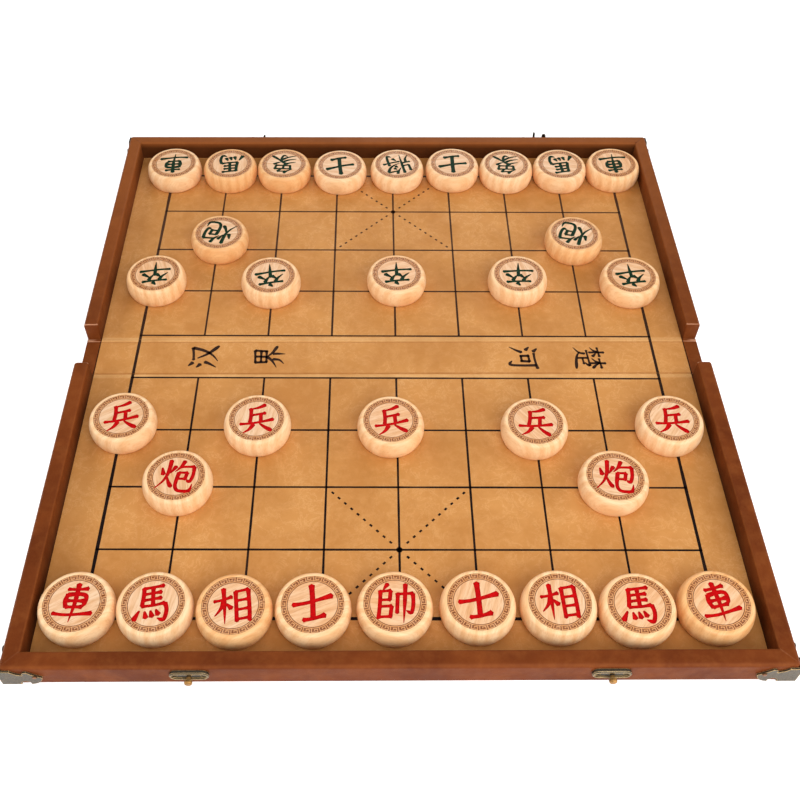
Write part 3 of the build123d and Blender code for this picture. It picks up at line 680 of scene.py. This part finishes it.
class CarvedPiece:
    """One piece with its mark and ring carved into the top."""

    def __init__(self, mark, size):
        self.verts, self.faces, self.mats, self.smooth = [], [], [], []
        self.index = {}
        profile = piece_profile()
        self.flat, self.top = profile[0]
        self.carve_top(mark, size)
        self.turn_side(profile[1:])

    def face(self, corners, mat, smooth=False):
        self.faces.append(corners)
        self.mats.append(mat)
        self.smooth.append(smooth)

    def vert(self, i, level):
        """Point i of the top's plan at a level, made when it is first asked for."""
        if (i, level) not in self.index:
            self.index[i, level] = len(self.verts)
            self.verts.append((*self.plan[i], self.top - DEPTH_OF[level]))
        return self.index[i, level]

    def carve_top(self, mark, size):
        """The flat top, the sunk ring with its fret, the mark, and the little walls between."""
        circles = [circle(self.flat), circle(BAND_OUTER), circle(BAND_INNER)]
        fret = fret_outlines()
        inner_circle, first_stroke = len(circles) - 1, len(circles) + len(fret)
        self.plan, triangles, owners = regions(circles + fret + mark_outlines(mark, size))
        beside = {}
        for tri, who in zip(triangles, owners):
            middle = (sum(self.plan[i][k] for i in tri) / 3 for k in (0, 1))
            in_band = (BAND_INNER * 0.9995 < math.hypot(*middle) < BAND_OUTER
                       and inner_circle not in who)
            on_fret = any(len(circles) <= w < first_stroke for w in who)
            if any(w >= first_stroke for w in who):
                level, mat = CARVED_LEVEL, IN_MARK
            elif in_band and not on_fret:
                level, mat = BAND_LEVEL, IN_BAND
            else:
                level, mat = TOP_LEVEL, ON_FRET if in_band else ON_TOP
            self.face([self.vert(i, level) for i in tri], mat)
            for a, b in zip(tri, tri[1:] + tri[:1]):
                beside.setdefault((min(a, b), max(a, b)), []).append((level, a, b))
        for sides in beside.values():
            if len(sides) == 2 and sides[0][0] != sides[1][0]:
                (high, a, b), (low, _, _) = sorted(sides)
                self.face([self.vert(b, high), self.vert(a, high), self.vert(a, low),
                           self.vert(b, low)], IN_MARK if low == CARVED_LEVEL else IN_BAND)

    def angle(self, i):
        """Where point i of the top's plan lies round the piece."""
        return math.atan2(self.plan[i][1], self.plan[i][0])

    def turn_side(self, profile):
        """The side, turned from the rim of the top down to the base."""
        rim = sorted((i for i, p in enumerate(self.plan) if abs(math.hypot(*p) - self.flat) < 1e-3),
                     key=lambda i: self.angle(i) % (2 * math.pi - 1e-6))
        above = [self.vert(i, TOP_LEVEL) for i in rim]
        for radius, z in profile:
            start = len(self.verts)
            self.verts += [(*around(radius, self.angle(i)), z) for i in rim]
            below = list(range(start, start + len(rim)))
            for k in range(len(rim)):
                m = (k + 1) % len(rim)
                self.face([above[k], below[k], below[m], above[m]], ON_SIDE, smooth=True)
            above = below
        self.face(above[::-1], ON_SIDE)


MARK_OF = {"chariot": "chariot", "horse": "horse", "advisor": "advisor", "cannon": "cannon",
           "elephant": "minister", "general": "marshal", "soldier": "soldier"}
GREEN_MARK_OF = dict(MARK_OF, elephant="elephant", general="general", soldier="pawn")
MARK_SIZE = {"minister": 24.5, "soldier": 25.0, "pawn": 25.5}
USUAL_MARK_SIZE = 26.0
# How far each piece is turned from square, in degrees, as it was set down.
TURNED = {
    "red_chariot_left": -4, "red_horse_left": 6, "red_elephant_left": 8, "red_advisor_left": 7,
    "red_general": -3, "red_advisor_right": 5, "red_elephant_right": 4, "red_horse_right": 1,
    "red_chariot_right": 10, "red_cannon_left": -7, "red_cannon_right": -9, "red_soldier_1": 8,
    "red_soldier_2": 5, "red_soldier_3": 7, "red_soldier_4": -4, "red_soldier_5": -2,
    "green_chariot_left": 2, "green_horse_left": 4, "green_elephant_left": -5,
    "green_advisor_left": 8, "green_general": 12, "green_advisor_right": 3,
    "green_elephant_right": -4, "green_horse_right": 6, "green_chariot_right": 3,
    "green_cannon_left": -14, "green_cannon_right": -20, "green_soldier_1": 4,
    "green_soldier_2": 7, "green_soldier_3": 2, "green_soldier_4": -3, "green_soldier_5": 5,
}
PALE_WOOD, TAWNY_WOOD = (1.0, 1.0, 1.0, 1.0), (0.92, 0.80, 0.64, 1.0)
TAWNY = {"green_cannon_left", "green_cannon_right", "green_elephant_left", "green_horse_left",
         "red_chariot_right", "red_elephant_left"}  # the pieces turned from browner wood
carved = {}
for name, turned in TURNED.items():
    colour, kind = name.split("_")[:2]
    marks, paint, faced = {"red": (MARK_OF, RED, 0), "green": (GREEN_MARK_OF, GREEN, 180)}[colour]
    mark = marks[kind]
    if (mark, colour) not in carved:
        carved[mark, colour] = CarvedPiece(mark, MARK_SIZE.get(mark, USUAL_MARK_SIZE))
    shape = carved[mark, colour]
    lo, hi = cad_box_mm(name)
    piece = make(f"{name}_carved", shape.verts, shape.faces,
                 [SHADED_TOP_WOOD, SCORCHED, BURNT, paint, TURNED_WOOD], name,
                 at=((lo.x + hi.x) / 2, (lo.y + hi.y) / 2, lo.z), turn=math.radians(turned + faced),
                 smooth=shape.smooth, face_materials=shape.mats)
    piece.color = TAWNY_WOOD if name in TAWNY else PALE_WOOD
    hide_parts(name)


# ---------------------------------------------------------------- printed board
THIN, BOLD = 1.6, 2.35
INK_LIFT = 0.02
LINE_STEP = 12  # a printed line's edge wavers from step to step
rng = random.Random(7)


class Print:
    """Flat shapes of ink, a hair above the sheet."""

    def __init__(self):
        self.verts, self.faces = [], []

    def put(self, x, y):
        self.verts.append((*on_box(x, y), FLOOR + INK_LIFT))

    def outline(self, points):
        start = len(self.verts)
        flat, triangles, _ = regions([points])
        for x, y in flat:
            self.put(x, y)
        self.faces += [[start + i for i in t] for t in triangles]

    def line(self, a, b, width):
        a, b = Vector(a), Vector(b)
        along = (b - a).normalized() * width / 2
        across = Vector((-along.y, along.x))
        start = len(self.verts)
        count = max(1, int((b - a).length / LINE_STEP))
        for i in range(count + 1):
            p = a.lerp(b, i / count)
            waver = 1 + 0.10 * rng.uniform(-1, 1)
            self.put(*(p - across * waver))
            self.put(*(p + across * waver))
        for k in range(start, start + 2 * count, 2):
            self.faces.append([k, k + 2, k + 3, k + 1])

    def dot(self, at, radius, sides=12):
        start = len(self.verts)
        for i in range(sides):
            x, y = around(radius, 2 * math.pi * i / sides)
            self.put(at[0] + x, at[1] + y)
        self.faces.append(list(range(start, start + sides)))

    def done(self, name, body):
        make(name, self.verts, self.faces, [INK], body)


FILES_EACH_SIDE, LAST_RANK, PALACE_MIDDLE, DOT_RADIUS = 4, 4, 3, 2.3
# Along a palace diagonal of length 1: dashes from each end towards the dot in its middle.
FIRST_DASH, DASH_SPACING, HALF_DASH, DASHES_EACH_END = 0.047, 0.044, 0.008, 10


def print_half(side, body, name):
    """One player's half of the board: ranks, files and the palace's dashed diagonals."""
    half = Print()
    rank_y = [side * (BANK + SQUARE * n) for n in range(LAST_RANK + 1)]
    for y in rank_y:
        reach = EDGE_FILE + BOLD / 2
        half.line((-reach, y), (reach, y), BOLD if y == rank_y[LAST_RANK] else THIN)
    for file in range(-FILES_EACH_SIDE, FILES_EACH_SIDE + 1):
        x = file * SQUARE
        at_edge = abs(file) == FILES_EACH_SIDE
        start = at_level(x, side * TRAY_START) if at_edge else rank_y[0]
        half.line((x, start), (x, rank_y[LAST_RANK]), BOLD if at_edge else THIN)
    for turned in (-1, 1):
        a = Vector((-SQUARE * turned, rank_y[PALACE_MIDDLE - 1]))
        b = Vector((SQUARE * turned, rank_y[LAST_RANK]))
        for i in range(DASHES_EACH_END):
            reach = FIRST_DASH + DASH_SPACING * i
            for t in (reach, 1 - reach):
                half.line(a.lerp(b, t - HALF_DASH), a.lerp(b, t + HALF_DASH), THIN)
    half.dot((0, rank_y[PALACE_MIDDLE]), DOT_RADIUS)
    half.done(name, body)


print_half(-1, "near_tray", "near_print")
print_half(1, "far_tray", "far_print")

WORD_SIZE, WORDS_Y = 23.5, -0.5
words = Print()
for x in (-EDGE_FILE, EDGE_FILE):
    words.line((x, at_level(x, -SPINE_HALF)), (x, at_level(x, SPINE_HALF)), BOLD)
for mark, x, turned in (("han", -152.7, 90), ("border", -100.5, 90), ("river", 102.0, -90),
                        ("chu", 154.4, -90)):
    c, s = math.cos(math.radians(turned)), math.sin(math.radians(turned))
    for stroke in mark_outlines(mark, WORD_SIZE):
        words.outline([(x + c * u - s * v, WORDS_Y + s * u + c * v) for u, v in stroke])
words.done("river_print", "spine")


# ---------------------------------------------------------------- folds
FOLD_STEPS = 12
FOLD_DROP, FOLD_THICK = 0.02, 1.43  # its top lies a hair under the sheets
DIP_DEPTH, DIP_AT, DIP_WIDTH = 0.5, 0.4, 0.45
LOW_END, LOW_SLOPE = 2.6, 0.1


def fold_section(side):
    """The leather of a fold, cut across: a loop of y and z, its top side first. It dips beside
    the spine and runs down a little towards the tray."""
    middle = side * (TRAY_START + SPINE_HALF) / 2
    half = (TRAY_START - SPINE_HALF) / 2
    top, under = [], []
    for i in range(FOLD_STEPS + 1):
        t = -1 + 2 * i / FOLD_STEPS
        y = middle + t * half
        off_spine = abs(y) - SPINE_HALF
        dip = DIP_DEPTH * math.exp(-((off_spine - DIP_AT) / DIP_WIDTH) ** 2)
        dip += LOW_SLOPE * max(0, off_spine - LOW_END)
        top.append((y, FLOOR - FOLD_DROP - dip))
        under.append((y, FLOOR - FOLD_DROP - FOLD_THICK + 0.1 * math.cos(math.pi * t)))
    return top + under[::-1], middle


def fold_strip(side, name, cad_name):
    """The leather along a fold, brown at its ends and tan and printed between."""
    loop, middle = fold_section(side)
    lines = [on_box(x, at_level(x, middle))[0] for x in (-EDGE_FILE, EDGE_FILE)]
    xs = [-OUTER_X, -INNER_X, INNER_X, OUTER_X, *range(-180, 181, 12)]
    xs += [x + d for x in lines for d in (-BOLD / 2, BOLD / 2)]
    xs.sort()
    verts = [(x, y, z) for x in xs for y, z in loop]
    brown, tan, inked = range(3)
    faces, mats = [], []
    n = len(loop)
    for k, (x, next_x) in enumerate(zip(xs, xs[1:])):
        mid = (x + next_x) / 2
        if min(abs(mid - line) for line in lines) < BOLD / 2:
            on_top = inked
        else:
            on_top = tan if abs(mid) < INNER_X else brown
        for i in range(n):
            j = (i + 1) % n
            faces.append([k * n + i, k * n + j, (k + 1) * n + j, (k + 1) * n + i])
            mats.append(on_top if i < FOLD_STEPS else brown)
    faces.append(list(range(n))[::-1])
    faces.append([(len(xs) - 1) * n + i for i in range(n)])
    mats += [brown, brown]
    if side > 0:
        faces = [f[::-1] for f in faces]
    strip = make(name, verts, faces, [BROWN, TAN, INK], None, smooth=True,
                 face_materials=mats)
    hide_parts(cad_name)
    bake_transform(strip)


fold_strip(-1, "near_fold_leather", "near_hinge_strip")
fold_strip(1, "far_fold_leather", "far_hinge_strip")


# ---------------------------------------------------------------- seam and painted shadow at the foot of the walls
SEAM_STEPS, SEAM_RISE, SEAM_REACH, SEAM_WAVER = 40, 0.55, 0.95, 0.3


def foot_seam_and_shadow(side, name, body):
    """The dark glued seam where the printed sheet meets the three walls of a tray, darkened further
    as a painted shadow at the walls' foot.
    """
    path = [(-INNER_X, side * TRAY_START), (-INNER_X, side * INNER_Y), (INNER_X, side * INNER_Y),
            (INNER_X, side * TRAY_START)]
    verts, faces = [], []
    for wall, (a, b) in enumerate(zip(path, path[1:])):
        a, b = Vector(a), Vector(b)
        along = (b - a).normalized()
        inwards = Vector((along.y, -along.x)) * -side
        for i in range(SEAM_STEPS + 1):
            t = i / SEAM_STEPS
            waver = SEAM_WAVER * math.sin(9 * t + wall) * math.sin(23 * t + 2 * wall)
            reach = SEAM_REACH + waver
            p = a.lerp(b, t)
            q = p + inwards * reach
            # The strips of the end wall and the side walls meet on the diagonal.
            if i == 0 and wall > 0:
                q += along * reach
            if i == SEAM_STEPS and wall < 2:
                q -= along * reach
            verts += [(p.x, p.y, FLOOR + SEAM_RISE),
                      ((p.x + q.x) / 2, (p.y + q.y) / 2, FLOOR + 0.2), (q.x, q.y, FLOOR + 0.012)]
            if i:
                n = len(verts)
                for j in (0, 1):
                    quad = [n - 6 + j, n - 5 + j, n - 2 + j, n - 3 + j]
                    faces.append(quad if side > 0 else quad[::-1])
    make(name, verts, faces, [SEAM_AND_SHADOW], body, smooth=True)


foot_seam_and_shadow(-1, "near_foot_seam", "near_tray")
foot_seam_and_shadow(1, "far_foot_seam", "far_tray")


# ---------------------------------------------------------------- folded corners of the leather
MITRE_STEPS = 10
MITRE_FROM_INSIDE, MITRE_FROM_OUTSIDE, MITRE_SWAY = 0.4, 2.6, 0.35
MITRE_SECTION = [(-0.75, -0.10), (-0.62, 0.02), (-0.30, 0.06), (0.15, 0.07), (0.42, 0.04),
                 (0.50, -0.10)]


def mitre(hand, side, name, body):
    """The raised lip where the leather overlaps along the diagonal of a corner's top, in a lighter
    leather as a painted highlight.
    """
    inner = Vector((hand * (INNER_X + MITRE_FROM_INSIDE), side * (INNER_Y + MITRE_FROM_INSIDE)))
    outer = Vector((hand * (OUTER_X - MITRE_FROM_OUTSIDE), side * (OUTER_Y - MITRE_FROM_OUTSIDE)))
    along = (outer - inner).normalized()
    across = Vector((-along.y, along.x))
    verts, faces = [], []
    for i in range(MITRE_STEPS + 1):
        t = i / MITRE_STEPS
        sway = MITRE_SWAY * math.sin(5.0 * t + hand + 2 * side) * t * (1 - t)
        shrink = 0.55 + 0.45 * math.sin(math.pi * min(1, 0.15 + t * 0.85))
        for u, z in MITRE_SECTION:
            p = inner.lerp(outer, t) + across * (u * shrink + sway)
            verts.append((p.x, p.y, WALL_TOP + z))
    n = len(MITRE_SECTION)
    for i in range(MITRE_STEPS):
        for k in range(n - 1):
            faces.append([(i + 1) * n + k, (i + 1) * n + k + 1, i * n + k + 1, i * n + k])
    make(name, verts, faces, [LIT_FOLD_LEATHER], body, smooth=True)


for hand, where in ((-1, "left"), (1, "right")):
    mitre(hand, -1, f"near_{where}_mitre", "near_tray")
    mitre(hand, 1, f"far_{where}_mitre", "far_tray")


# ---------------------------------------------------------------- camera, light and ground
PIXELS, SENSOR_WIDTH = 800, 36
FOCAL_PIXELS, MIDDLE_PIXEL = 986.60, 376.37  # the photograph's focal length and middle column
PITCH, YAW, ROLL = (math.radians(v) for v in (50.560, 0.789, 0.514))
STOOD = Vector((-20.10, -524.88, 584.75 + FLOOR))  # where the photographer's camera stood
forward = Vector((math.sin(YAW) * math.cos(PITCH), math.cos(YAW) * math.cos(PITCH),
                  -math.sin(PITCH)))
level = Vector((math.cos(YAW), -math.sin(YAW), 0))
up = level.cross(forward)
right = level * math.cos(ROLL) + up * math.sin(ROLL)
top = up * math.cos(ROLL) - level * math.sin(ROLL)
camera_data = bpy.data.cameras.new("camera")
camera_data.sensor_width = SENSOR_WIDTH
camera_data.lens = FOCAL_PIXELS * SENSOR_WIDTH / PIXELS
camera_data.shift_x = (PIXELS / 2 - MIDDLE_PIXEL) / PIXELS
camera_data.clip_start, camera_data.clip_end = 0.01, 20
camera = in_scene("camera", camera_data)
camera.matrix_world = (Matrix.Translation(STOOD * MM)
                       @ Matrix((right, top, -forward)).transposed().to_4x4())
bpy.context.scene.camera = camera

world = bpy.data.worlds.new("white_room")
bpy.context.scene.world = world
world.use_nodes = True
room = world.node_tree.nodes["Background"].inputs
room["Color"].default_value = (1.0, 1.0, 1.0, 1.0)
room["Strength"].default_value = 0.2


def softbox(name, at, towards, size, power):
    """A square white lamp that faces a point, all in metres and watts."""
    lamp = bpy.data.lights.new(name, "AREA")
    lamp.size, lamp.energy = size, power
    obj = in_scene(name, lamp)
    obj.location = at
    obj.rotation_euler = (Vector(towards) - Vector(at)).to_track_quat("-Z", "Y").to_euler()


softbox("overhead", (0.0, -0.4, 1.6), (0, 0, 0), 1.2, 6.5)
softbox("front", (0.4, -1.28, 0.95), (0, -0.05, 0), 1.1, 16.5)
softbox("back", (0.1, 1.7, 1.15), (0, 0.1, 0), 1.0, 10.0)
softbox("left", (-1.4, -0.25, 0.75), (0, 0, 0), 1.1, 9.5)
softbox("right", (1.4, -0.25, 0.75), (0, 0, 0), 1.1, 9.5)

REACH, UNDER = 6, -0.0002  # metres: the ground's half width, and its place under the box
ground_mesh = bpy.data.meshes.new("ground")
ground_mesh.from_pydata([(x, y, UNDER) for x, y in ((-REACH, -REACH), (REACH, -REACH),
                                                    (REACH, REACH), (-REACH, REACH))],
                        [], [(0, 1, 2, 3)])
paper = Shader("white_ground")
paper.set(Base_Color=(0.95, 0.95, 0.95, 1), Roughness=0.9, Emission_Color=(1, 1, 1, 1),
          Emission_Strength=0.5)
ground_mesh.materials.append(paper.mat)
in_scene("ground", ground_mesh)

bpy.context.scene.view_settings.view_transform = "Standard"
